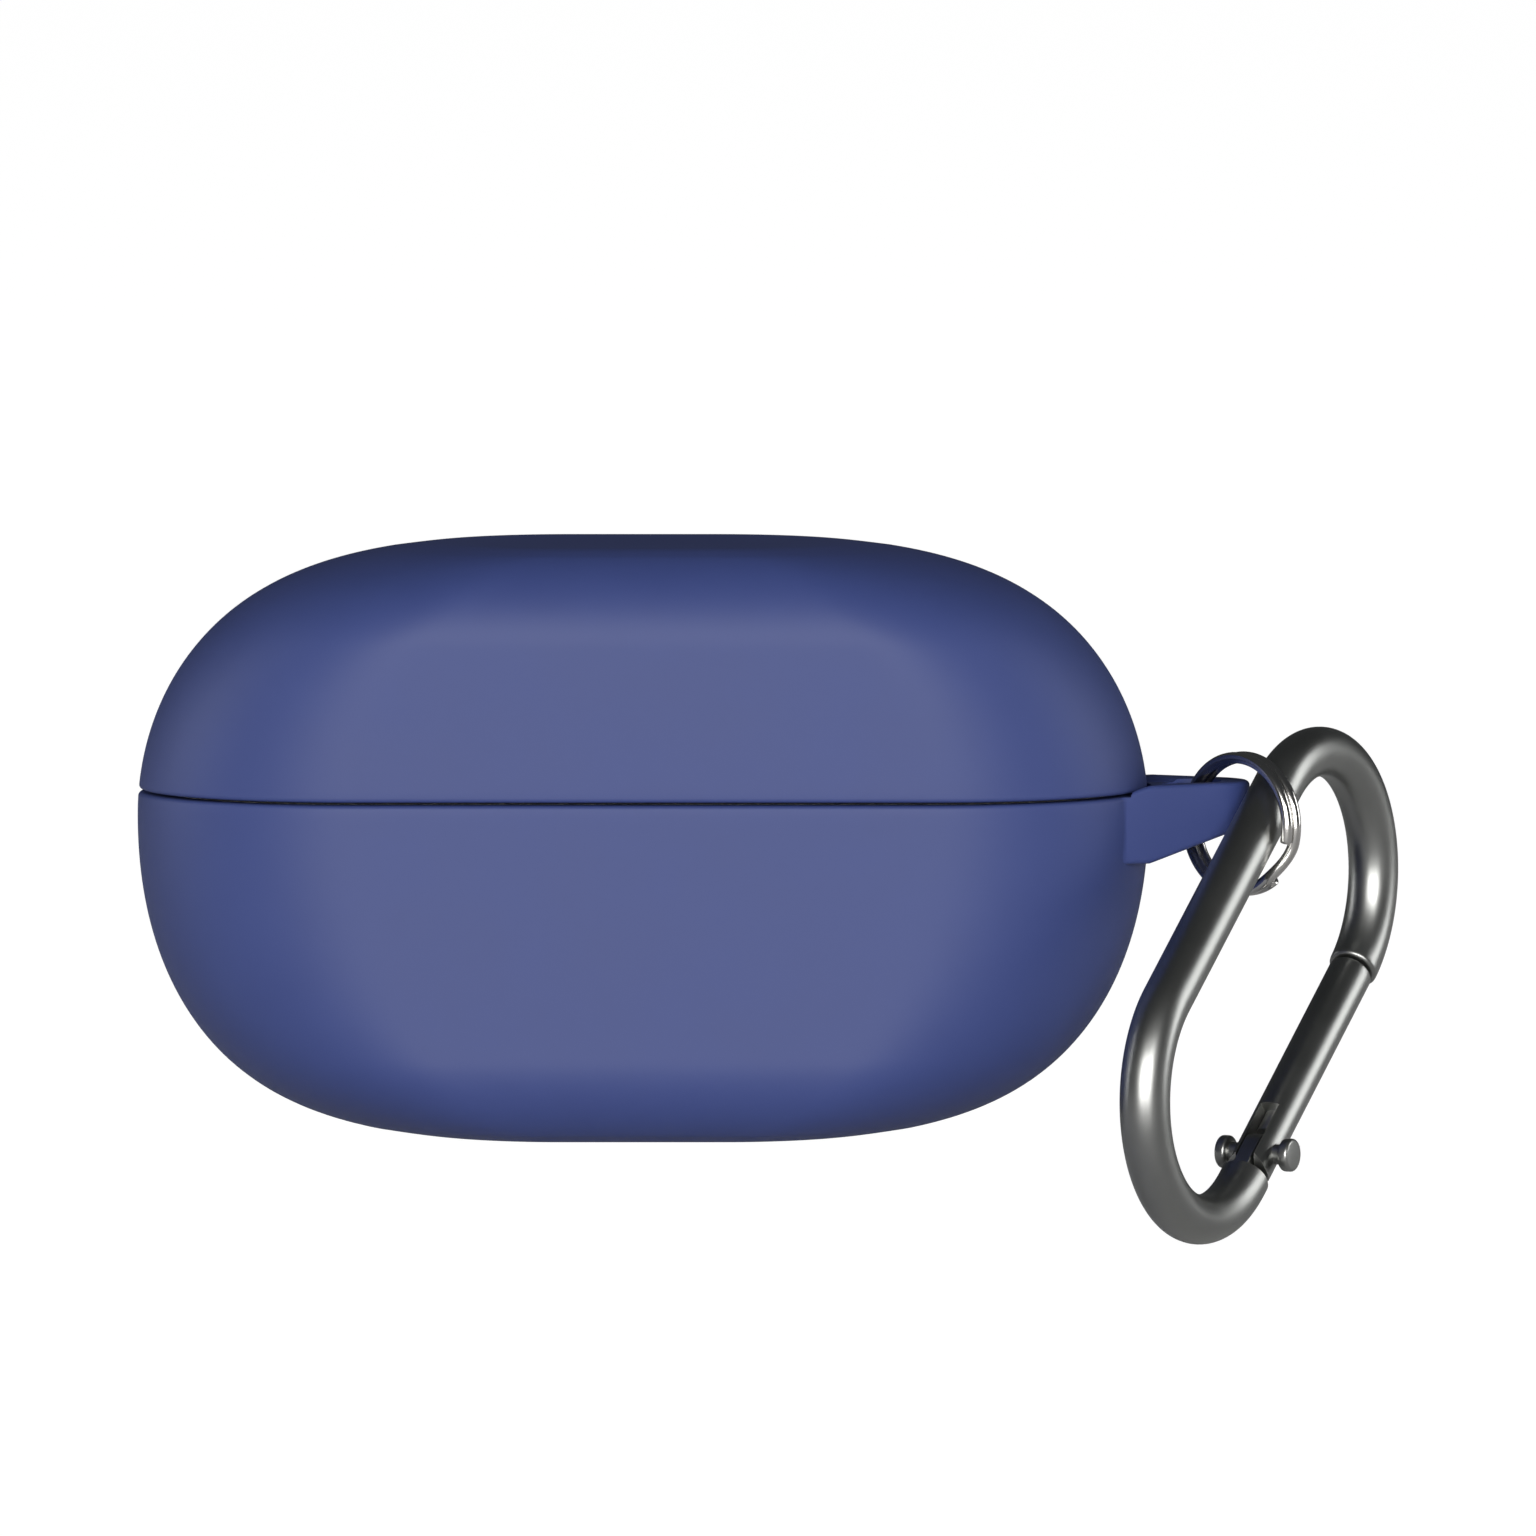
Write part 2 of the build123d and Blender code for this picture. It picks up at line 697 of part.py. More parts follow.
def build_bud(side, hand):
    """All pieces of one earbud, standing in its well."""
    reach = -side * pin_reach
    with BuildPart() as shell:
        add(bud_outside)
        add(bud_inside, mode=Mode.SUBTRACT)
        for y in (-pin_spread / 2, pin_spread / 2):
            add(
                post_at(reach, y, bud_bottom - 1, bud_bottom + contact_thick, contact_radius),
                mode=Mode.SUBTRACT,
            )
        add(
            post_at(side * tip_offset, 0, bud_bottom - 1, bud_bottom + bud_wall + 1, nozzle_bore),
            mode=Mode.SUBTRACT,
        )
    with BuildPart() as cap:
        with Locations((0, 0, bud_split_z)):
            Cylinder(
                bud_neck_radius, bud_top - bud_split_z,
                align=(Align.CENTER, Align.CENTER, Align.MIN),
            )
        fillet(cap.faces().sort_by(Axis.Z)[-1].edges(), bud_cap_round)
        with Locations((0, 0, bud_split_z)):
            Cylinder(
                bud_neck_radius - bud_wall, bud_cap_hollow,
                align=(Align.CENTER, Align.CENTER, Align.MIN), mode=Mode.SUBTRACT,
            )
        add(
            post_at(side * mic_x, 0, bud_split_z, bud_top + 1, mic_radius),
            mode=Mode.SUBTRACT,
        )
    with BuildPart() as mic_mesh:
        add(post_at(side * mic_x, 0, bud_top - mic_depth, bud_top - mic_recess, mic_radius))
    nozzle_low = tip_bottom + nozzle_recess
    with BuildPart() as nozzle:
        add(post_at(side * tip_offset, 0, nozzle_low, bud_bottom, nozzle_radius))
        add(
            post_at(side * tip_offset, 0, nozzle_low - 1, bud_bottom + 1, nozzle_bore),
            mode=Mode.SUBTRACT,
        )
    with BuildPart() as nozzle_mesh:
        add(post_at(side * tip_offset, 0, nozzle_low, nozzle_low + mesh_thick, nozzle_bore))
    sleeve = nozzle_radius + tip_lip
    with BuildPart() as ear_tip:
        with BuildSketch(Plane.XZ):
            with BuildLine():
                Line((nozzle_radius, tip_bottom), (sleeve, tip_bottom))
                ThreePointArc(
                    (sleeve, tip_bottom),
                    (tip_radius - tip_bulge, (tip_bottom + tip_top) / 2 - tip_bulge),
                    (tip_radius, tip_top),
                )
                Line((tip_radius, tip_top), (tip_radius - tip_wall, tip_top))
                ThreePointArc(
                    (tip_radius - tip_wall, tip_top),
                    (tip_radius - tip_bulge - tip_wall, (tip_bottom + tip_top) / 2),
                    (sleeve, tip_bottom + tip_floor),
                )
                Line((sleeve, tip_bottom + tip_floor), (sleeve, tip_top - tip_wall))
                Line((sleeve, tip_top - tip_wall), (nozzle_radius, tip_top - tip_wall))
                Line((nozzle_radius, tip_top - tip_wall), (nozzle_radius, tip_bottom))
            make_face()
        revolve(axis=Axis.Z)
    with BuildPart() as contacts:
        for y in (-pin_spread / 2, pin_spread / 2):
            add(post_at(reach, y, bud_bottom, bud_bottom + contact_thick, contact_radius))
    with BuildPart() as driver:
        add(post_at(0, 0, driver_low, driver_low + driver_thick, driver_radius))
    with BuildPart() as cell:
        add(post_at(0, 0, cell_low, cell_top, cell_radius))
        fillet(cell.edges().filter_by(GeomType.CIRCLE), cell_edge)
    with BuildPart() as retainer:
        add(box_at(0, retainer_y, driver_low + retainer_size[2] / 2, retainer_size))
        add(bud_inside, mode=Mode.INTERSECT)
    pieces = {
        "shell": shell, "cap": cap, "mic_mesh": mic_mesh, "nozzle": nozzle,
        "nozzle_mesh": nozzle_mesh, "contacts": contacts, "driver": driver,
        "cell": cell, "magnet": retainer,
    }
    for name, piece in pieces.items():
        save(place(piece.part, side), f"{hand}_bud_{name}")
    save(place(ear_tip.part, side, tip_offset), f"{hand}_bud_ear_tip")


# ---- split ring, two flat coils with one crossover ----
ring_dir = Vector(cos(radians(ring_turn)), -sin(radians(ring_turn)), 0)
ring_normal = Vector(sin(radians(ring_turn)), cos(radians(ring_turn)), 0)
hole_centre = Vector(tab_hole_x, 0, tab_top - ring_below_tab)
ring_centre = hole_centre + ring_dir * ring_radius
ring_plane = Plane(ring_centre, x_dir=ring_dir, z_dir=ring_normal)


def ring_point(share):
    """Point on the wire's centre line, share running from 0 to 1."""
    turn_start = radians(ring_end_angle)
    turn_end = 4 * pi - radians(ring_end_angle)
    angle = turn_start + share * (turn_end - turn_start)
    cross = min(max((angle - 2 * pi) / (2 * turn_start) + 0.5, 0.0), 1.0)
    blend = cross * cross * (3 - 2 * cross)
    across = ring_pitch * (0.5 - blend)
    start = radians(ring_start_angle)
    return (ring_radius * cos(angle + start), ring_radius * sin(angle + start), across)


with BuildPart() as split_ring:
    with BuildLine(ring_plane) as ring_path:
        Spline(*[ring_point(i / (ring_points - 1)) for i in range(ring_points)])
    with BuildSketch(Plane(ring_path.line @ 0, z_dir=ring_path.line % 0)):
        Circle(ring_wire / 2)
    sweep()

# ---- carabiner, drawn in its own plane: spine at -X, gate at +X, +Y up ----
half_straight = link_straight / 2
wire_radius = link_wire / 2
gate_radius = gate_wire / 2
pivot_y = -half_straight + pivot_from_bottom
shoulder_y = pivot_y - foot_clear
slot_half = tongue_thick / 2 + tongue_gap
bore_low = pivot_y + tongue_round + plunger_gap
spring_low = bore_low + plunger_length + spring_wire
with BuildPart() as carabiner_frame:
    with BuildLine() as link_path:
        Line((link_bend, shoulder_y), (link_bend, -half_straight))
        ThreePointArc(
            (link_bend, -half_straight), (0, -half_straight - link_bend),
            (-link_bend, -half_straight),
        )
        Line((-link_bend, -half_straight), (-link_bend, half_straight))
        ThreePointArc(
            (-link_bend, half_straight), (0, half_straight + link_bend),
            (link_bend, half_straight),
        )
    with BuildSketch(Plane((link_bend, shoulder_y, 0), x_dir=(1, 0, 0), z_dir=(0, -1, 0))):
        Circle(wire_radius)
    sweep()
    with BuildSketch(Plane.XY.offset(-tongue_thick / 2)):
        with Locations((link_bend, pivot_y)):
            Circle(tongue_round)
        with Locations((link_bend, (pivot_y + shoulder_y - tongue_thick) / 2)):
            Rectangle(2 * tongue_round, pivot_y - shoulder_y + tongue_thick)
    extrude(amount=tongue_thick)
    with Locations((link_bend, pivot_y)):
        Cylinder(pivot_radius, 2 * link_wire, mode=Mode.SUBTRACT)

with BuildPart() as carabiner_gate:
    with BuildSketch(Plane((link_bend, pivot_y, 0), x_dir=(1, 0, 0), z_dir=(0, 1, 0))):
        Circle(gate_radius)
    extrude(amount=gate_top - pivot_y)
    with Locations((link_bend, pivot_y)):
        Cylinder(foot_round, 2 * gate_radius)
    with BuildSketch(
        Plane((link_bend, pivot_y - foot_round, 0), x_dir=(1, 0, 0), z_dir=(0, 1, 0))
    ):
        Circle(gate_radius)
    extrude(amount=gate_top - pivot_y + foot_round, mode=Mode.INTERSECT)
    with Locations((link_bend, pivot_y + (slot_reach - foot_clear) / 2)):
        Box(3 * gate_radius, slot_reach + foot_clear, 2 * slot_half, mode=Mode.SUBTRACT)
    with BuildSketch(
        Plane((link_bend, pivot_y + slot_reach / 2, 0), x_dir=(1, 0, 0), z_dir=(0, 1, 0))
    ):
        Circle(gate_bore_radius)
    extrude(amount=gate_bore_length, mode=Mode.SUBTRACT)
    with Locations((link_bend, pivot_y)):
        Cylinder(pivot_radius + running_fit, 2 * link_wire, mode=Mode.SUBTRACT)

head_low = gate_radius + rivet_neck
with BuildPart() as gate_rivet:
    with Locations((link_bend, pivot_y)):
        Cylinder(pivot_radius, 2 * head_low)
    for side in (-1, 1):
        with Locations((link_bend, pivot_y, side * (head_low + rivet_head_thick / 2))):
            Cylinder(rivet_head_radius, rivet_head_thick)
    fillet(
        gate_rivet.edges().filter_by(GeomType.CIRCLE).group_by(Axis.Z)[-1], rivet_head_round
    )
    fillet(gate_rivet.edges().filter_by(GeomType.CIRCLE).group_by(Axis.Z)[0], rivet_head_round)

with BuildPart() as gate_plunger:
    with BuildSketch(Plane((link_bend, bore_low, 0), x_dir=(1, 0, 0), z_dir=(0, 1, 0))):
        Circle(plunger_radius)
    extrude(amount=plunger_length)
with BuildPart() as gate_spring:
    with BuildLine() as coil:
        Helix(
            spring_pitch, spring_length, spring_radius,
            center=(link_bend, spring_low, 0), direction=(0, 1, 0),
        )
    with BuildSketch(Plane(coil.line @ 0, z_dir=coil.line % 0)):
        Circle(spring_wire / 2)
    sweep()

# ---- carabiner's place: its spine runs through the ring ----
link_across = Vector(0.307, 0.565, -0.766)
link_normal = Vector(0.875, -0.483, -0.006)
spine_point = ring_centre + ring_dir * spine_out + Vector(0, 0, spine_rise)
turned = Plane((0, 0, 0), x_dir=link_across, z_dir=link_normal)
link_centre = spine_point + turned.x_dir * link_bend - turned.y_dir * spine_up
link_plane = Plane(link_centre, x_dir=turned.x_dir, z_dir=turned.z_dir)

pieces = {
    "cover_base": cover_base, "cover_lid": cover_lid, "case_base_shell": case_base_shell,
    "case_lid_shell": case_lid_shell, "hinge_pin": hinge_pin, "lid_liner": lid_liner,
    "lid_magnets": lid_magnets, "cradle_tray": cradle_tray, "base_magnets": base_magnets,
    "status_light_pipe": status_light_pipe, "status_led": status_led,
    "pin_barrels": pin_barrels, "battery_pad": battery_pad, "battery_cell": battery_cell,
    "main_board": main_board, "board_screws": board_screws, "board_chips": board_chips,
    "hall_sensor": hall_sensor, "usb_socket_shell": usb_socket_shell,
    "usb_tongue": usb_tongue, "pairing_button": pairing_button,
    "button_switch": button_switch, "split_ring": split_ring,
}
for name, piece in pieces.items():
    save(piece.part, name)
save(pin_pair(-1), "left_charging_pins")
save(pin_pair(1), "right_charging_pins")
build_bud(-1, "left")
build_bud(1, "right")
link_pieces = {
    "carabiner_frame": carabiner_frame, "carabiner_gate": carabiner_gate,
    "gate_rivet": gate_rivet, "gate_plunger": gate_plunger, "gate_spring": gate_spring,
}
for name, piece in link_pieces.items():
    save(link_plane.location * piece.part, name)
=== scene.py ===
import math

import bmesh
import bpy
import numpy as np
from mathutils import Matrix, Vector


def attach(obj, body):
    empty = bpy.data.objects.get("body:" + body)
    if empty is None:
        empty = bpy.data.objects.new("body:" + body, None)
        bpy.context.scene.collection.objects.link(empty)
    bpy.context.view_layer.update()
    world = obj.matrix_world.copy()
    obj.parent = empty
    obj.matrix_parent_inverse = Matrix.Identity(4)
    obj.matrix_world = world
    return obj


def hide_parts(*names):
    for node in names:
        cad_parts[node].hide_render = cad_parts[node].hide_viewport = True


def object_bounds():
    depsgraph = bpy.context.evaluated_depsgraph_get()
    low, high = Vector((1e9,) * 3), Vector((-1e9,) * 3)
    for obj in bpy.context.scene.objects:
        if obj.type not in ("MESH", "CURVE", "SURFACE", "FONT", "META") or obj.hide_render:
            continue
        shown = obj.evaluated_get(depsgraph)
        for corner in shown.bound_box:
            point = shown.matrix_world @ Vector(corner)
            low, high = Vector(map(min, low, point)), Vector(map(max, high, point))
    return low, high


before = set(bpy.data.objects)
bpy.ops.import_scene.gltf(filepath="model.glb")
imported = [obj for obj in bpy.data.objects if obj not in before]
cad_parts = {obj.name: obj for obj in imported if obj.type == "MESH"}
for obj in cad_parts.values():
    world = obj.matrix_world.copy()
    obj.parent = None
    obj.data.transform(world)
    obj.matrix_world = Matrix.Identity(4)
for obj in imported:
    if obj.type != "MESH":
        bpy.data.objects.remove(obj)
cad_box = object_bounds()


# ---- camera ----
# A long lens looking almost level at the front of the cover, a little above it,
# far enough away that the near and far ends of the carabiner keep their true sizes.
camera_distance = 1.5
camera_rise = math.radians(4.0)
field_width = 0.10635
aim = Vector((0.00865, 0.0, 0.02525))
camera_data = bpy.data.cameras.new("studio_camera")
camera_data.sensor_width = 36.0
camera_data.lens = camera_data.sensor_width * camera_distance / field_width
camera_data.clip_end = 20.0
camera = bpy.data.objects.new("studio_camera", camera_data)
toward = Vector((0.0, -math.cos(camera_rise), math.sin(camera_rise)))
camera.location = aim + toward * camera_distance
camera.rotation_euler = (-toward).to_track_quat("-Z", "Y").to_euler()
bpy.context.scene.collection.objects.link(camera)
bpy.context.scene.camera = camera
bpy.context.scene.view_settings.view_transform = "Standard"


# ---- floor, light and surroundings ----
# A plain pale floor under a white backdrop. Two tall soft panels stand side by side in
# front with a narrow dark gap between them, and one weaker panel stands off each end.
def new_material(name):
    """Empty node material with a Principled shader wired to its output."""
    material = bpy.data.materials.new(name)
    material.use_nodes = True
    return material, material.node_tree.nodes, material.node_tree.links


floor_drop = 0.0002
floor_reach = 8.0
floor_z = cad_box[0].z - floor_drop
floor_mesh = bpy.data.meshes.new("floor")
floor_mesh.from_pydata(
    [(-floor_reach, -floor_reach, floor_z), (floor_reach, -floor_reach, floor_z),
     (floor_reach, floor_reach, floor_z), (-floor_reach, floor_reach, floor_z)],
    [], [(0, 1, 2, 3)],
)
floor = bpy.data.objects.new("floor", floor_mesh)
bpy.context.scene.collection.objects.link(floor)
floor_paint, nodes, links = new_material("floor_paint")
nodes["Principled BSDF"].inputs["Base Color"].default_value = (0.8, 0.8, 0.8, 1)
nodes["Principled BSDF"].inputs["Roughness"].default_value = 0.8
glow = nodes.new("ShaderNodeEmission")
glow.inputs["Color"].default_value = (1.0, 1.0, 1.0, 1)
glow.inputs["Strength"].default_value = 1.1
sight = nodes.new("ShaderNodeLightPath")
share = nodes.new("ShaderNodeMath")
share.operation = "MULTIPLY"
share.inputs[1].default_value = 0.9
mixer = nodes.new("ShaderNodeMixShader")
links.new(sight.outputs["Is Camera Ray"], share.inputs[0])
links.new(share.outputs[0], mixer.inputs[0])
links.new(nodes["Principled BSDF"].outputs[0], mixer.inputs[1])
links.new(glow.outputs[0], mixer.inputs[2])
links.new(mixer.outputs[0], nodes["Material Output"].inputs["Surface"])
floor_mesh.materials.append(floor_paint)

world = bpy.data.worlds.new("studio")
bpy.context.scene.world = world
world.use_nodes = True
nodes, links = world.node_tree.nodes, world.node_tree.links
backdrop = nodes["Background"]
backdrop.inputs["Color"].default_value = (0.9, 0.95, 1.0, 1)
backdrop.inputs["Strength"].default_value = 0.05
seen = nodes.new("ShaderNodeBackground")
seen.inputs["Color"].default_value = (1.0, 1.0, 1.0, 1)
seen.inputs["Strength"].default_value = 1.0
sight = nodes.new("ShaderNodeLightPath")
mixer = nodes.new("ShaderNodeMixShader")
links.new(sight.outputs["Is Camera Ray"], mixer.inputs[0])
links.new(backdrop.outputs[0], mixer.inputs[1])
links.new(seen.outputs[0], mixer.inputs[2])
links.new(mixer.outputs[0], nodes["World Output"].inputs["Surface"])

lamp_target = Vector((0.0, 0.0, 0.02))


def lamp(name, size, place, power, tint=(1.0, 1.0, 1.0)):
    """Rectangular studio light at a place, facing the middle of the cover."""
    data = bpy.data.lights.new(name, "AREA")
    data.shape = "RECTANGLE"
    data.size, data.size_y = size
    data.energy = power
    data.color = tint
    light = bpy.data.objects.new(name, data)
    light.location = place
    direction = lamp_target - Vector(place)
    light.rotation_euler = direction.to_track_quat("-Z", "Y").to_euler()
    bpy.context.scene.collection.objects.link(light)


front_size, front_power, front_tint = (0.82, 1.5), 46.0, (1.0, 0.985, 0.975)
end_size, end_power = (0.5, 1.2), 9.0
lamp("front_left", front_size, (-0.45, -1.9, 0.12), front_power, front_tint)
lamp("front_right", front_size, (0.45, -1.9, 0.12), front_power, front_tint)
lamp("left_panel", end_size, (-1.4, 0.25, 0.2), end_power)
lamp("right_panel", end_size, (1.4, 0.25, 0.2), end_power)


# ---- silicone cover ----
# Two moulded shells of navy silicone, 1.6 mm thick, that stretch over the hard case and
# meet in a thin parting line; the lower one carries the strap tab on its right end.
MM = 0.001
cover_width, cover_depth, cover_height = 70.0, 30.0, 41.0
cover_wall, cover_fit = 1.6, 0.05
waist_z, parting_z, parting_gap = 22.14, 23.78, 0.2
cap_share = 0.985
upper_powers, lower_powers = (3.82, 1.97), (4.06, 2.14)
top_edge, bottom_edge = 6.5, 6.0
lip_round = 0.3
skin = 0.004


def half_span(z, inset):
    """Half length of the front outline: a * (1 - s ** q) ** (1 / p), a superellipse with its
    own powers p and q above and below the waist, s the share of the way to the pole."""
    up = z >= waist_z
    power_x = np.where(up, upper_powers[0], lower_powers[0])
    power_z = np.where(up, upper_powers[1], lower_powers[1])
    rise = np.where(up, cover_height - waist_z, waist_z) / cap_share - inset
    share = np.minimum(np.abs(z - waist_z) / rise, 1.0)
    return (cover_width / 2 - inset) * (1 - share**power_z) ** (1 / power_x)


def half_depth(z, inset):
    """Half thickness: flat faces that run into quarter circles at the top and bottom,
    depth - r + sqrt(r ** 2 - d ** 2), d the drop below the end of the flat face."""
    up = z >= waist_z
    radius = np.where(up, top_edge, bottom_edge) - inset
    run = np.where(up, cover_height - inset - z, z - inset)
    drop = np.clip(radius - run, 0.0, radius)
    return cover_depth / 2 - inset - radius + np.sqrt(np.maximum(radius**2 - drop**2, 0.0))


def level_rows(z, inset):
    """Rows (half span, half depth, z) of the cover's outline at given heights."""
    return np.stack([half_span(z, inset), half_depth(z, inset), z], axis=1)


flat_rows, flat_span = 22, (0.02, 0.985)
crowding = 1.15
join_rows, join_passes = (16, 34), 30


def skin_rows(z_pole, z_rim, inset, count):
    """Rows from the flat pole to the rim at pole + (rim - pole) * (1 - cos(t pi / 2)) ** c,
    so that they crowd where the edge turns. Shrunken copies of the first row fill the flat
    face, and the rows round their join are averaged with weights 1, 2, 1."""
    turn = np.linspace(0.0, 1.0, count)
    z = z_pole + (z_rim - z_pole) * (1 - np.cos(turn * np.pi / 2)) ** crowding
    rows = level_rows(z, inset)
    shrink = np.linspace(*flat_span, flat_rows)[:, None]
    cap = np.concatenate([rows[0, :2] * shrink, np.full((flat_rows, 1), z_pole)], axis=1)
    rows = np.concatenate([cap, rows])
    low, high = join_rows
    for _ in range(join_passes):
        before, after = rows[low - 1 : high - 1], rows[low + 1 : high + 1]
        rows[low:high] = (before + 2 * rows[low:high] + after) / 4
    return rows


straight_columns, arc_columns = 36, 56


def stadium_grid(rows):
    """Grid of points: each row is a stadium of its half span, half depth and height, two
    half circles of radius b centred at x = +a - b and -a + b, joined by straight runs."""
    turn = np.linspace(-np.pi / 2, np.pi / 2, arc_columns, endpoint=False)
    run = np.linspace(1, -1, straight_columns, endpoint=False)
    still, flat = np.zeros(straight_columns), np.ones(straight_columns)
    side = np.concatenate([np.ones(arc_columns), run, -np.ones(arc_columns), -run])
    cosine = np.concatenate([np.cos(turn), still, -np.cos(turn), still])
    sine = np.concatenate([np.sin(turn), flat, -np.sin(turn), -flat])
    a, b, z = rows[:, 0:1], rows[:, 1:2], rows[:, 2:3]
    straight = np.maximum(a - b, 0.0)
    x = side * straight + cosine * np.minimum(a, b)
    return np.stack([x, b * sine, z + 0 * x], axis=-1)


def mesh_from_grid(name, grid):
    """Closed mesh from a grid in millimetres that wraps round its columns; the first and
    last rows are closed with a fan to their centres."""
    rows, columns, _ = grid.shape
    index = np.arange(rows * columns).reshape(rows, columns)
    after = np.roll(index, -1, axis=1)
    quads = np.stack([index[:-1], after[:-1], after[1:], index[1:]], axis=-1)
    faces = quads.reshape(-1, 4).tolist()
    points = grid.reshape(-1, 3) * MM
    first, last = len(points), len(points) + 1
    points = np.concatenate([points, [grid[0].mean(0) * MM], [grid[-1].mean(0) * MM]])
    faces += np.stack([after[0], index[0], np.full(columns, first)], axis=1).tolist()
    faces += np.stack([index[-1], after[-1], np.full(columns, last)], axis=1).tolist()
    mesh = bpy.data.meshes.new(name)
    mesh.from_pydata(points.tolist(), [], faces)
    tool = bmesh.new()
    tool.from_mesh(mesh)
    bmesh.ops.recalc_face_normals(tool, faces=tool.faces)
    tool.to_mesh(mesh)
    tool.free()
    return mesh


def add_piece(name, mesh, material, body, sharp=40.0):
    """Object at the origin with smooth faces, creases sharper than an angle kept."""
    mesh.shade_smooth()
    mesh.set_sharp_from_angle(angle=math.radians(sharp))
    piece = bpy.data.objects.new(name, mesh)
    bpy.context.scene.collection.objects.link(piece)
    mesh.materials.clear()
    mesh.materials.append(material)
    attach(piece, body)
    return piece


def combine(mesh, other, operation):
    """Mesh after an exact boolean with another mesh, which is used up."""
    first = bpy.data.objects.new("work_piece", mesh)
    second = bpy.data.objects.new("work_tool", other)
    bpy.context.scene.collection.objects.link(first)
    bpy.context.scene.collection.objects.link(second)
    step = first.modifiers.new("cut", "BOOLEAN")
    step.operation = operation
    step.solver = "EXACT"
    step.object = second
    graph = bpy.context.evaluated_depsgraph_get()
    result = bpy.data.meshes.new_from_object(first.evaluated_get(graph))
    result.name = mesh.name
    bpy.data.objects.remove(first)
    bpy.data.objects.remove(second)
    bpy.data.meshes.remove(other)
    return result


outer_rows, inner_rows = 64, 24
lip_turn = np.radians(np.linspace(15, 90, 6))


def shell_mesh(name, z_pole, z_rim, inward):
    """Closed shell: outside rows from the pole down to a quarter-round lip, then inside
    rows back up to the inner pole. inward is +1 where the material lies above the rim."""
    outer = skin_rows(z_pole, z_rim + inward * lip_round, 0.0, outer_rows)
    lip_z = z_rim + inward * lip_round * (1 - np.sin(lip_turn))
    lip = level_rows(lip_z, lip_round * (1 - np.cos(lip_turn)))
    inner = skin_rows(z_pole - inward * cover_wall, z_rim, cover_wall, inner_rows)[::-1]
    return mesh_from_grid(name, stadium_grid(np.concatenate([outer, lip, inner])))


def bar_mesh(name, start, end, radius, columns=64):
    """Closed round bar: start + h * axis + radius * (cos t * side + sin t * other)."""
    start, end = np.array(start, float), np.array(end, float)
    length = np.linalg.norm(end - start)
    axis = (end - start) / length
    side = np.cross(axis, [0.0, 0.0, 1.0] if abs(axis[2]) < 0.9 else [1.0, 0.0, 0.0])
    side /= np.linalg.norm(side)
    other = np.cross(axis, side)
    angle = np.linspace(0, 2 * np.pi, columns, endpoint=False)
    ring = np.cos(angle)[:, None] * side + np.sin(angle)[:, None] * other
    heights = np.array([0.0, length])
    return mesh_from_grid(name, start + heights[:, None, None] * axis + radius * ring)


# A fine moulded grain, a broad drift of tone and worn edges, shared by the materials.
def new_group(name, inputs, outputs):
    """Node group with named float inputs and named outputs of given socket types."""
    group = bpy.data.node_groups.new(name, "ShaderNodeTree")
    for label, value in inputs.items():
        socket = group.interface.new_socket(
            label, in_out="INPUT", socket_type="NodeSocketFloat"
        )
        socket.default_value = value
    for label, kind in outputs.items():
        group.interface.new_socket(label, in_out="OUTPUT", socket_type=kind)
    return group, group.nodes.new("NodeGroupInput"), group.nodes.new("NodeGroupOutput")


def grain_group():
    """Height and tone of a fine moulded grain: two noises, one fine and one broad."""
    group, start, end = new_group(
        "moulded_grain",
        {"Fine Scale": 4000.0, "Broad Scale": 120.0},
        {"Height": "NodeSocketFloat", "Tone": "NodeSocketFloat"},
    )
    nodes, links = group.nodes, group.links
    place = nodes.new("ShaderNodeTexCoord")
    fine = nodes.new("ShaderNodeTexNoise")
    fine.inputs["Detail"].default_value = 3.0
    broad = nodes.new("ShaderNodeTexNoise")
    broad.inputs["Detail"].default_value = 4.0
    links.new(place.outputs["Object"], fine.inputs["Vector"])
    links.new(place.outputs["Object"], broad.inputs["Vector"])
    links.new(start.outputs["Fine Scale"], fine.inputs["Scale"])
    links.new(start.outputs["Broad Scale"], broad.inputs["Scale"])
    links.new(fine.outputs["Fac"], end.inputs["Height"])
    links.new(broad.outputs["Fac"], end.inputs["Tone"])
    return group


def edge_group():
    """Mask of worn edges: how far the plain normal turns from one rounded over a radius."""
    group, start, end = new_group(
        "worn_edge", {"Radius": 0.0004, "Strength": 1.0}, {"Mask": "NodeSocketFloat"}
    )
    nodes, links = group.nodes, group.links
    rounded = nodes.new("ShaderNodeBevel")
    rounded.samples = 4
    links.new(start.outputs["Radius"], rounded.inputs["Radius"])
    plain = nodes.new("ShaderNodeNewGeometry")
    dot = nodes.new("ShaderNodeVectorMath")
    dot.operation = "DOT_PRODUCT"
    links.new(rounded.outputs["Normal"], dot.inputs[0])
    links.new(plain.outputs["Normal"], dot.inputs[1])
    spread = nodes.new("ShaderNodeMapRange")
    spread.inputs["From Min"].default_value = 0.995
    spread.inputs["From Max"].default_value = 0.90
    links.new(dot.outputs["Value"], spread.inputs["Value"])
    gain = nodes.new("ShaderNodeMath")
    gain.operation = "MULTIPLY"
    gain.use_clamp = True
    links.new(spread.outputs["Result"], gain.inputs[0])
    links.new(start.outputs["Strength"], gain.inputs[1])
    links.new(gain.outputs[0], end.inputs["Mask"])
    return group


moulded_grain = grain_group()
worn_edge = edge_group()


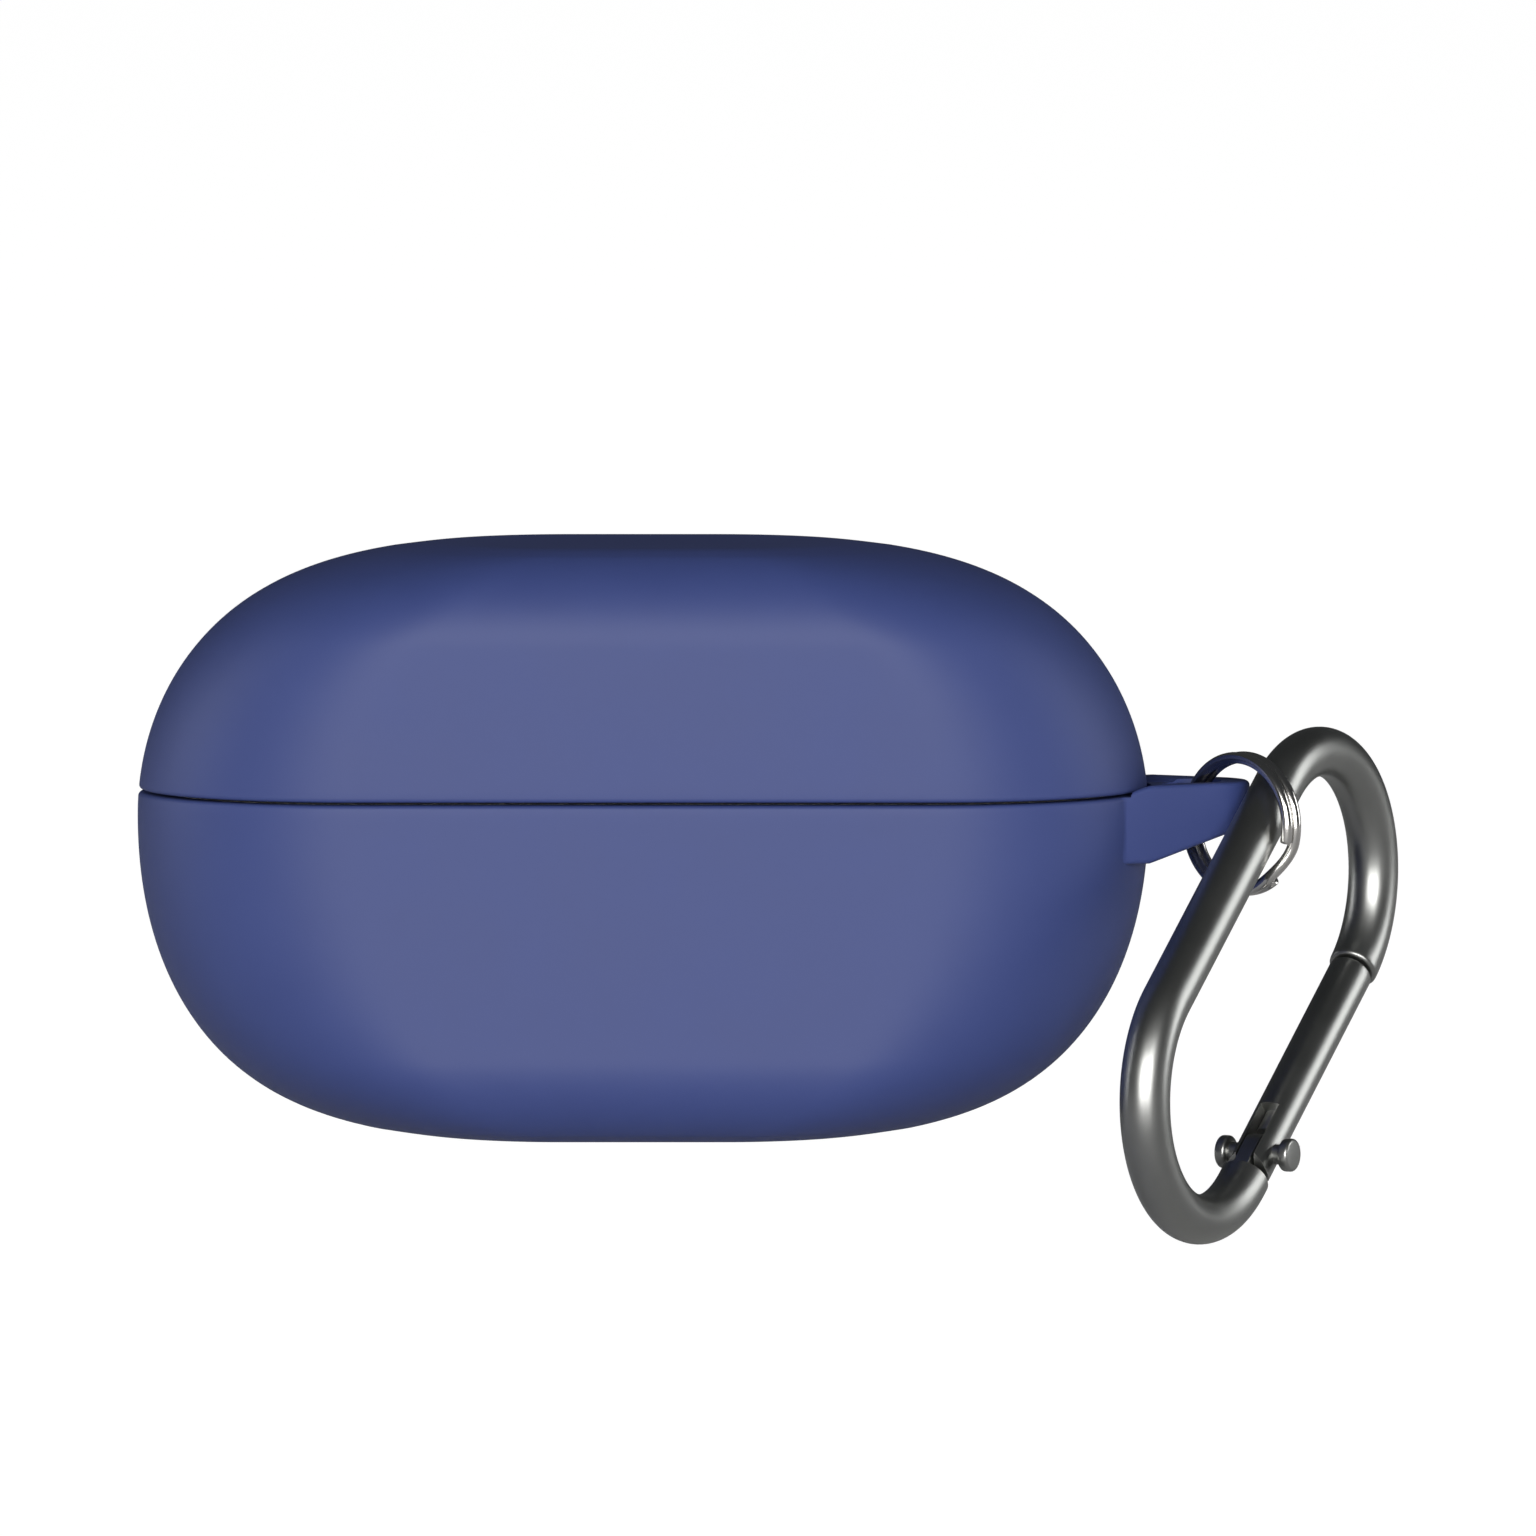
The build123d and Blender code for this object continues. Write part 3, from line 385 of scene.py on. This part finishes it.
def grained_material(
    name, dark, light, rough, metal=0.0, fine=4000.0, broad=120.0, bump=0.00001,
    rough_spread=0.08, worn=None, **constants
):
    """Principled material whose colour and roughness drift with the broad grain, whose
    normal carries the fine grain, and whose edges can show a worn colour. worn holds that
    colour, the edge radius and the strength; constants go straight to the shader."""
    material, nodes, links = new_material(name)
    shader = nodes["Principled BSDF"]
    grain = nodes.new("ShaderNodeGroup")
    grain.node_tree = moulded_grain
    grain.inputs["Fine Scale"].default_value = fine
    grain.inputs["Broad Scale"].default_value = broad
    colour = nodes.new("ShaderNodeMix")
    colour.data_type = "RGBA"
    colour.inputs["A"].default_value = (*dark, 1)
    colour.inputs["B"].default_value = (*light, 1)
    links.new(grain.outputs["Tone"], colour.inputs["Factor"])
    rough_map = nodes.new("ShaderNodeMapRange")
    rough_map.inputs["To Min"].default_value = rough - rough_spread / 2
    rough_map.inputs["To Max"].default_value = rough + rough_spread / 2
    links.new(grain.outputs["Tone"], rough_map.inputs["Value"])
    links.new(rough_map.outputs["Result"], shader.inputs["Roughness"])
    last = colour.outputs["Result"]
    if worn:
        edge_colour, edge_radius, edge_strength = worn
        edge = nodes.new("ShaderNodeGroup")
        edge.node_tree = worn_edge
        edge.inputs["Radius"].default_value = edge_radius
        edge.inputs["Strength"].default_value = edge_strength
        over = nodes.new("ShaderNodeMix")
        over.data_type = "RGBA"
        over.inputs["B"].default_value = (*edge_colour, 1)
        links.new(edge.outputs["Mask"], over.inputs["Factor"])
        links.new(last, over.inputs["A"])
        last = over.outputs["Result"]
    links.new(last, shader.inputs["Base Color"])
    relief = nodes.new("ShaderNodeBump")
    relief.inputs["Distance"].default_value = bump
    relief.inputs["Strength"].default_value = 1.0
    links.new(grain.outputs["Height"], relief.inputs["Height"])
    links.new(relief.outputs["Normal"], shader.inputs["Normal"])
    shader.inputs["Metallic"].default_value = metal
    for label, value in constants.items():
        shader.inputs[label.replace("_", " ")].default_value = value
    return material


silicone = grained_material(
    "navy_silicone", (0.027, 0.042, 0.146), (0.032, 0.049, 0.164), 0.58,
    fine=9000.0, broad=160.0, bump=0.000004, rough_spread=0.05,
    Specular_IOR_Level=0.35,
)

# The lid half, open along the back where the hinge turns.
lid_rim = parting_z + parting_gap / 2
base_rim = parting_z - parting_gap / 2
hinge_y = cover_depth / 2 - cover_wall - cover_fit
hinge_angle = 95.0
channel_past_flat, channel_gap = 7.0, 0.1
channel_half = cover_width / 2 - cover_depth / 2 + channel_past_flat
channel_radius = (cover_wall + cover_fit) / math.cos(math.radians(hinge_angle / 2)) + channel_gap


def channel_mesh():
    """Round bar that leaves the hinge channel along the back."""
    low, high = (-channel_half, hinge_y, parting_z), (channel_half, hinge_y, parting_z)
    return bar_mesh("channel", low, high, channel_radius)


lid_mesh = shell_mesh("silicone_lid", cover_height - skin, lid_rim, 1.0)
lid_mesh = combine(lid_mesh, channel_mesh(), "DIFFERENCE")
silicone_lid = add_piece("silicone_lid", lid_mesh, silicone, "lid")
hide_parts("cover_lid")

# The base half with its tab, whose top edge ramps up from the parting line.
tab_rise, tab_lid_gap = 0.75, 0.3
tab_top = base_rim + tab_rise
nose_x, nose_radius = cover_width / 2 + 3.4, 3.6
root_half, root_x = 8.2, cover_width / 2 - 4.0
root_drop, tip_drop = 5.4, 3.0
hole_x, hole_radius = nose_x - 0.4, 2.1
hole_over, hole_under = 2.0, 4.0
sweep_over = 4.0
tab_round = 0.35
ramp_start, ramp_run = 32.4, 2.9
side_points, nose_points, edge_points = 24, 40, 7


def tab_outline(inset):
    """Plan outline of the tab moved inward: a straight root, two straight sides that
    touch the round nose, all offset by the same amount."""
    radius = nose_radius - inset
    lean = math.atan2(root_half - nose_radius, nose_x - root_x)
    turn = np.linspace(-np.pi / 2 + lean, np.pi / 2 - lean, nose_points)
    nose = np.stack([nose_x + radius * np.cos(turn), radius * np.sin(turn)], axis=1)
    run = np.linspace(0, 1, side_points)[:, None]
    low = np.array([root_x, -(root_half - inset / math.cos(lean))])
    high = low * [1, -1]
    return np.concatenate(
        [low + (nose[0] - low) * run[:-1], nose, nose[-1] + (high - nose[-1]) * run[1:]]
    )


def tab_mesh():
    """Tab body: the plan outline carried down its sides with quarter-round top and bottom
    edges. The top follows a smooth ramp 3 r ** 2 - 2 r ** 3, and the underside slopes up
    in a straight line toward the nose."""
    turn = np.linspace(0, np.pi / 2, edge_points)
    reach = nose_x + nose_radius - cover_width / 2
    layers = []
    for inset, drop in zip(tab_round * (1 - np.sin(turn)), tab_round * (1 - np.cos(turn))):
        outline = tab_outline(inset)
        ramp = np.clip((outline[:, 0] - ramp_start) / ramp_run, 0, 1)
        ramp = ramp * ramp * (3 - 2 * ramp)
        layers.append(np.column_stack([outline, base_rim + tab_rise * ramp - drop]))
    for inset, lift in zip(tab_round * (1 - np.cos(turn)), tab_round * (1 - np.sin(turn))):
        outline = tab_outline(inset)
        share = np.clip((outline[:, 0] - cover_width / 2) / reach, 0, 1)
        underside = tab_top - root_drop + (root_drop - tip_drop) * share
        layers.append(np.column_stack([outline, underside + lift]))
    return mesh_from_grid("tab", np.stack(layers))


base_mesh = shell_mesh("silicone_base", skin, base_rim, -1.0)
cavity_rows = skin_rows(cover_wall, parting_z + sweep_over, cover_wall, 60)
cavity = mesh_from_grid("cavity", stadium_grid(cavity_rows))
lid_levels = np.linspace(base_rim, base_rim + sweep_over, 9)
lid_sweep = mesh_from_grid("lid_sweep", stadium_grid(level_rows(lid_levels, -tab_lid_gap)))
hole_low = tab_top - root_drop - hole_under
hole = bar_mesh("hole", (hole_x, 0, tab_top + hole_over), (hole_x, 0, hole_low), hole_radius)
strap = tab_mesh()
for cutter in (hole, cavity, lid_sweep):
    strap = combine(strap, cutter, "DIFFERENCE")
base_mesh = combine(base_mesh, strap, "UNION")
base_mesh = combine(base_mesh, channel_mesh(), "DIFFERENCE")

# The windows for the charging port and the pairing button at the back.
port_z, port_width, port_height = 13.8, 12.1, 6.4
button_x, button_hole = -10.5, 2.6
port_deep, button_deep, wall_past = 2.4, 1.4, 1.0


def port_mesh(columns=40):
    """Closed round-ended bar along Y, the shape that the port leaves in the wall."""
    angle = np.linspace(0, 2 * np.pi, columns, endpoint=False)
    round_end = port_height / 2
    x = np.sign(np.cos(angle)) * (port_width / 2 - round_end) + np.cos(angle) * round_end
    ring = np.stack([x, 0 * x, port_z + np.sin(angle) * round_end], axis=1)
    low, high = [0, hinge_y - port_deep, 0], [0, cover_depth / 2 + wall_past, 0]
    return mesh_from_grid("port", np.stack([ring + low, ring + high]))


press_low = (button_x, hinge_y - button_deep, port_z)
press_high = (button_x, cover_depth / 2 + wall_past, port_z)
press = bar_mesh("press", press_low, press_high, button_hole)
for cutter in (port_mesh(), press):
    base_mesh = combine(base_mesh, cutter, "DIFFERENCE")
silicone_base = add_piece("silicone_base", base_mesh, silicone, "base")
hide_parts("cover_base")


# ---- split ring ----
# Hard bright-nickelled steel wire in two flat coils with one crossover; it passes through
# the tab's hole and round the spine of the carabiner.
ring_wire, ring_outer, ring_pitch = 0.8, 10.0, 0.86
ring_radius = (ring_outer - ring_wire) / 2
ring_turn = math.radians(43.0)
ring_height = 21.6
ring_end, ring_start = math.radians(20.0), math.radians(34.0)
ring_dir = np.array([math.cos(ring_turn), -math.sin(ring_turn), 0.0])
ring_normal = np.array([math.sin(ring_turn), math.cos(ring_turn), 0.0])
ring_centre = np.array([hole_x, 0.0, ring_height]) + ring_dir * ring_radius


def ring_path(share):
    """Centre line of the wire: centre + r * (cos a * dir + sin a * up) + s * normal, where s
    holds still, steps across by one pitch near a full turn, and holds still again."""
    angle = ring_end + share * (4 * math.pi - 2 * ring_end)
    cross = np.clip((angle - 2 * math.pi) / (2 * ring_end) + 0.5, 0.0, 1.0)
    across = ring_pitch * (0.5 - cross * cross * (3 - 2 * cross))
    turned = angle + ring_start
    up = np.cross(ring_normal, ring_dir)
    return (
        ring_centre
        + ring_radius * np.cos(turned)[:, None] * ring_dir
        + ring_radius * np.sin(turned)[:, None] * up
        + across[:, None] * ring_normal
    )


def tube_mesh(name, path, radius, plane_normal, columns, end_round=0.12):
    """Round wire along a path, path + r * (cos t * side + sin t * up), its cut ends rounded
    by a quarter circle. side is the path's direction crossed with a fixed normal."""
    tangent = np.gradient(path, axis=0)
    tangent /= np.linalg.norm(tangent, axis=1)[:, None]
    side = np.cross(tangent, plane_normal)
    side /= np.linalg.norm(side, axis=1)[:, None]
    up = np.cross(side, tangent)
    turn = np.linspace(0, np.pi / 2, 5)[:-1]
    small = radius - end_round + end_round * np.sin(turn)
    step = (end_round * (1 - np.cos(turn)))[:, None]
    lead, tail = path[0] + step * tangent[0], path[-1] - step * tangent[-1]
    centre = np.concatenate([lead, path[1:-1], tail[::-1]])
    radii = np.concatenate([small, np.full(len(path) - 2, radius), small[::-1]])
    sides = np.concatenate([np.repeat(side[:1], 4, 0), side[1:-1], np.repeat(side[-1:], 4, 0)])
    ups = np.concatenate([np.repeat(up[:1], 4, 0), up[1:-1], np.repeat(up[-1:], 4, 0)])
    angle = np.linspace(0, 2 * np.pi, columns, endpoint=False)
    grid = centre[:, None] + radii[:, None, None] * (
        np.cos(angle)[:, None] * sides[:, None] + np.sin(angle)[:, None] * ups[:, None]
    )
    return mesh_from_grid(name, grid)


nickel = grained_material(
    "bright_nickel", (0.50, 0.49, 0.47), (0.62, 0.61, 0.59), 0.17, metal=1.0,
    fine=14000.0, broad=600.0, bump=0.0000008, rough_spread=0.06,
)
ring_mesh = tube_mesh(
    "key_ring", ring_path(np.linspace(0, 1, 300)), ring_wire / 2, ring_normal, 28
)
key_ring = add_piece("key_ring", ring_mesh, nickel, "ring")
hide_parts("split_ring")


# ---- carabiner ----
# Black-nickelled steel bar bent into a long oval, with a straight gate that turns on a
# rivet at its foot and closes against the nose. Sizes are in its own plane: spine at -X.
link_wire, link_bend, link_straight = 3.47, 8.81, 21.2
gate_wire, gate_gap = 3.1, 0.2
pivot_from_bottom = 2.9
foot_round, foot_clear, slot_reach = 1.9, 2.3, 3.5
pivot_radius = 0.7
head_radius, head_thick, head_edge, neck = 1.15, 0.8, 0.22, 0.5
tongue_thick, tongue_gap, tongue_round, tongue_sink = 1.1, 0.15, 1.35, 0.9
spine_out, spine_rise, spine_up = 1.8, 0.4, 7.3
half_straight = link_straight / 2
pivot_y = -half_straight + pivot_from_bottom
shoulder_y = pivot_y - foot_clear
gate_top = half_straight - gate_gap
link_z = np.array([0.875, -0.483, -0.006])
link_z /= np.linalg.norm(link_z)
link_x = np.array([0.307, 0.565, -0.766])
link_x -= link_x.dot(link_z) * link_z
link_x /= np.linalg.norm(link_x)
link_y = np.cross(link_z, link_x)
spine_point = ring_centre + ring_dir * spine_out + np.array([0, 0, spine_rise])
link_centre = spine_point + link_x * link_bend - link_y * spine_up


def from_link(points):
    """Points of the carabiner's own plane placed in the shared frame."""
    points = np.asarray(points, float)
    return (
        link_centre + points[..., :1] * link_x + points[..., 1:2] * link_y
        + points[..., 2:3] * link_z
    )


def link_path():
    """Centre line: down from the foot's shoulder round the bottom bend, up the spine and
    round the top bend to the nose, as straight runs and half circles."""
    turn = np.linspace(0, np.pi, 90)
    foot_y = np.linspace(shoulder_y, -half_straight, 5)[:-1]
    spine_y = np.linspace(-half_straight, half_straight, 42)[1:-1]
    foot = np.stack([np.full(4, link_bend), foot_y, np.zeros(4)], 1)
    bottom = np.stack(
        [link_bend * np.cos(turn), -half_straight - link_bend * np.sin(turn), 0 * turn], 1
    )
    spine = np.stack([np.full(40, -link_bend), spine_y, np.zeros(40)], 1)
    top = np.stack(
        [-link_bend * np.cos(turn), half_straight + link_bend * np.sin(turn), 0 * turn], 1
    )
    return from_link(np.concatenate([foot, bottom, spine, top]))


def plate_mesh(name, outline, half_thick):
    """Flat plate of an outline in the carabiner's plane, as thick on either side of it."""
    outline = np.asarray(outline, float)
    layers = [
        np.column_stack([outline, np.full(len(outline), z)]) for z in (-half_thick, half_thick)
    ]
    return mesh_from_grid(name, from_link(np.stack(layers)))


gunmetal = grained_material(
    "black_nickel", (0.23, 0.235, 0.228), (0.30, 0.305, 0.296), 0.35, metal=1.0,
    fine=9000.0, broad=260.0, bump=0.0000012, rough_spread=0.07,
    worn=((0.42, 0.41, 0.38), 0.0002, 0.6),
)
frame_mesh = tube_mesh(
    "carabiner_bar", link_path(), link_wire / 2, link_z, 64, end_round=0.25
)
turn = np.linspace(0, np.pi, 24)
tongue_foot = shoulder_y - tongue_sink
tongue = np.concatenate([
    np.stack(
        [link_bend + tongue_round * np.cos(turn), pivot_y + tongue_round * np.sin(turn)], 1
    ),
    [[link_bend - tongue_round, tongue_foot], [link_bend + tongue_round, tongue_foot]],
])
frame_mesh = combine(frame_mesh, plate_mesh("tongue", tongue, tongue_thick / 2), "UNION")
carabiner_bar = add_piece("carabiner_bar", frame_mesh, gunmetal, "carabiner", 35)
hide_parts("carabiner_frame")

gate_edge = 0.25
gate_columns = 64


def gate_rod():
    """Gate bar along the plane's Y: a foot that follows an arc about the rivet,
    y = pivot - sqrt(r ** 2 - x ** 2), a straight run, and a quarter-round top edge."""
    radius = gate_wire / 2
    angle = np.linspace(0, 2 * np.pi, gate_columns, endpoint=False)
    across, out = radius * np.cos(angle), radius * np.sin(angle)
    rows = []
    for shrink in np.linspace(0.05, 1.0, 12):
        y = pivot_y - np.sqrt(np.maximum(foot_round**2 - (across * shrink) ** 2, 0.0))
        rows.append(np.stack([link_bend + across * shrink, y, out * shrink], 1))
    for y in np.linspace(pivot_y, gate_top - gate_edge, 40):
        rows.append(np.stack([link_bend + across, np.full(gate_columns, y), out], 1))
    for step in np.linspace(0, np.pi / 2, 6)[1:]:
        small = 1 - gate_edge / radius * (1 - np.cos(step))
        y = np.full(gate_columns, gate_top - gate_edge + gate_edge * np.sin(step))
        rows.append(np.stack([link_bend + across * small, y, out * small], 1))
    return mesh_from_grid("gate_bar", from_link(np.stack(rows)))


slot_half = tongue_thick / 2 + tongue_gap
slot_side = 3.0
slot_outline = [
    (link_bend - slot_side, pivot_y - foot_clear), (link_bend + slot_side, pivot_y - foot_clear),
    (link_bend + slot_side, pivot_y + slot_reach), (link_bend - slot_side, pivot_y + slot_reach),
]
gate_mesh = combine(gate_rod(), plate_mesh("gate_slot", slot_outline, slot_half), "DIFFERENCE")
gate_bar = add_piece("gate_bar", gate_mesh, gunmetal, "gate", 35)
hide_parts("carabiner_gate")


def rivet_mesh():
    """Rivet turned about its own axis: a plain shank between two round-edged discs."""
    inner = gate_wire / 2 + neck
    outer = inner + head_thick
    turn = np.linspace(0, np.pi / 2, 6)
    rim = head_radius - head_edge
    low = np.stack(
        [rim + head_edge * np.sin(turn), inner + head_edge - head_edge * np.cos(turn)], 1
    )
    high = np.stack(
        [rim + head_edge * np.cos(turn), outer - head_edge + head_edge * np.sin(turn)], 1
    )
    shank = [[pivot_radius, inner - neck], [pivot_radius, inner]]
    half = np.concatenate([shank, low, high])
    profile = np.concatenate([half[::-1] * [1, -1], half])
    angle = np.linspace(0, 2 * np.pi, 40, endpoint=False)
    x = link_bend + profile[:, :1] * np.cos(angle)
    y = pivot_y + profile[:, :1] * np.sin(angle)
    z = profile[:, 1:2] + 0 * x
    return mesh_from_grid("gate_pin", from_link(np.stack([x, y, z], -1)))


gate_pin = add_piece("gate_pin", rivet_mesh(), gunmetal, "carabiner", 50)
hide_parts("gate_rivet")


def finish(material, *names):
    """Give nodes that keep their modelled shapes a material in place of their own."""
    for name in names:
        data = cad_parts[name].data
        data.materials.clear()
        data.materials.append(material)


steel = grained_material(
    "plain_steel", (0.42, 0.42, 0.41), (0.58, 0.58, 0.57), 0.30, metal=1.0, fine=12000.0,
    bump=0.000002,
)
finish(steel, "gate_plunger", "gate_spring")


# ---- hard case ----
# Moulded off-white shells on a steel hinge pin, a glossy liner in the lid and a glossy tray
# with the two wells, with plated magnets pressed in and a status light at the front.
case_plastic = grained_material(
    "case_plastic", (0.60, 0.59, 0.56), (0.66, 0.65, 0.62), 0.42, fine=9000.0, bump=0.000003,
)
gloss_plastic = grained_material(
    "tray_plastic", (0.56, 0.55, 0.52), (0.62, 0.61, 0.58), 0.26, fine=5000.0, bump=0.000001,
    Coat_Weight=0.25, Coat_Roughness=0.1,
)
magnet_plate = grained_material(
    "magnet_plate", (0.50, 0.50, 0.51), (0.62, 0.62, 0.63), 0.24, metal=1.0, bump=0.000001,
)
frosted = grained_material(
    "frosted_pipe", (0.62, 0.66, 0.64), (0.76, 0.80, 0.78), 0.45, bump=0.000002,
    Transmission_Weight=0.6,
)
led_resin = grained_material(
    "led_resin", (0.72, 0.70, 0.42), (0.82, 0.80, 0.52), 0.3, bump=0.000001,
)
finish(case_plastic, "case_base_shell", "case_lid_shell")
finish(gloss_plastic, "lid_liner", "cradle_tray")
finish(steel, "hinge_pin")
finish(magnet_plate, "base_magnets", "lid_magnets")
finish(frosted, "status_light_pipe")
finish(led_resin, "status_led")


# ---- battery, board and charging ----
# A foil-wrapped cell on a foam pad, a green board screwed over it with its chips and
# charging socket, gold-plated sprung pins under each well, and the pairing button.
gold = grained_material(
    "gold_plate", (0.72, 0.50, 0.18), (0.82, 0.60, 0.26), 0.22, metal=1.0, bump=0.000001,
)
black_resin = grained_material(
    "black_resin", (0.012, 0.012, 0.013), (0.028, 0.028, 0.030), 0.5, fine=12000.0,
    bump=0.000004,
)
board_green = grained_material(
    "solder_mask", (0.008, 0.060, 0.028), (0.016, 0.100, 0.045), 0.35, broad=900.0,
    bump=0.000004, Coat_Weight=0.3,
)
foil = grained_material(
    "battery_foil", (0.38, 0.39, 0.41), (0.55, 0.56, 0.58), 0.38, metal=1.0, fine=2500.0,
    bump=0.00002,
)
foam = grained_material(
    "foam_pad", (0.010, 0.010, 0.010), (0.045, 0.045, 0.045), 0.95, fine=6000.0, bump=0.00005,
)
finish(gold, "pin_barrels", "left_charging_pins", "right_charging_pins")
finish(foil, "battery_cell")
finish(foam, "battery_pad")
finish(board_green, "main_board")
finish(black_resin, "board_chips", "hall_sensor", "usb_tongue")
finish(steel, "board_screws", "usb_socket_shell", "button_switch")
finish(case_plastic, "pairing_button")


# ---- earbuds ----
# Two round buds standing in the wells: a moulded shell under a glossy cap, woven steel
# meshes, a soft silicone ear tip, gold contacts, and a driver, cell and magnet inside.
tip_silicone = grained_material(
    "tip_silicone", (0.42, 0.42, 0.41), (0.50, 0.50, 0.49), 0.6, fine=8000.0, bump=0.000003,
    Sheen_Weight=0.2,
)
mesh_steel = grained_material(
    "woven_mesh", (0.05, 0.05, 0.05), (0.32, 0.32, 0.31), 0.4, metal=1.0, broad=9000.0,
    bump=0.00001,
)
for hand in ("left", "right"):
    finish(case_plastic, f"{hand}_bud_shell", f"{hand}_bud_nozzle")
    finish(gloss_plastic, f"{hand}_bud_cap")
    finish(mesh_steel, f"{hand}_bud_mic_mesh", f"{hand}_bud_nozzle_mesh")
    finish(tip_silicone, f"{hand}_bud_ear_tip")
    finish(gold, f"{hand}_bud_contacts")
    finish(steel, f"{hand}_bud_driver", f"{hand}_bud_cell")
    finish(magnet_plate, f"{hand}_bud_magnet")
